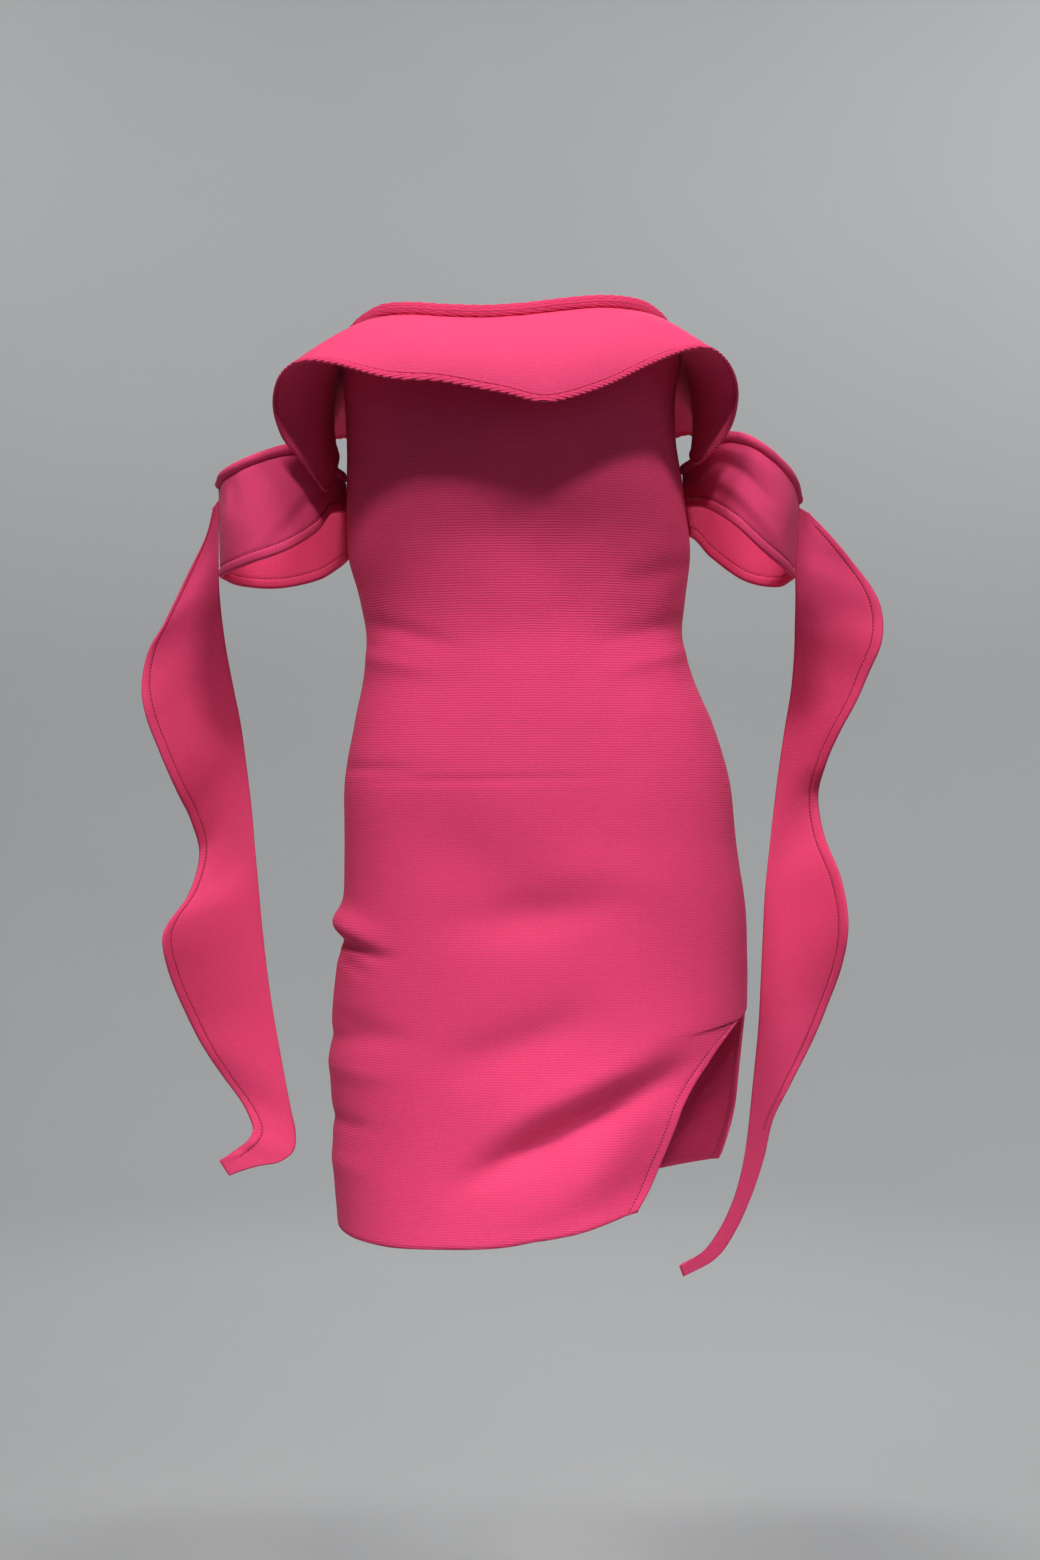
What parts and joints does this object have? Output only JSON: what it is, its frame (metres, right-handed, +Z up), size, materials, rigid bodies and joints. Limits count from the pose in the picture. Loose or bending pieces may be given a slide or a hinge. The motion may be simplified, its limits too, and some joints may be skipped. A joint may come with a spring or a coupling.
{
  "type": "bodycon dress",
  "caption": "Strapless knitted bodycon mini dress with a bust flounce, off-shoulder arm bands and long hanging sleeve flounces, in its worn hollow form.",
  "frame": {"origin": "middle of the neckline opening, where the wearer's chest holds the dress", "axes": "+Z up along the body, -Y out of the dress's front, +X to the right of someone who looks at the front"},
  "size_m": [0.5793, 0.3194, 0.7539],
  "materials": {
    "ribbed_knit": "matt, fine level ribs",
    "smooth_knit": "matt, smooth close knit"
  },
  "bodies": {
    "root": {"body_front": "ribbed_knit", "body_back": "ribbed_knit", "neckline_binding": "ribbed_knit", "flounce_edge_binding_front": "ribbed_knit", "flounce_edge_binding_back": "ribbed_knit", "bust_flounce_front": "smooth_knit", "bust_flounce_back": "smooth_knit", "arm_band_front_left": "smooth_knit", "arm_band_back_left": "smooth_knit", "arm_band_roll_left": "smooth_knit", "hanging_flounce_left": "smooth_knit", "arm_band_front_right": "smooth_knit", "arm_band_back_right": "smooth_knit", "arm_band_roll_right": "smooth_knit", "hanging_flounce_right": "smooth_knit"}
  },
  "joints": []
}
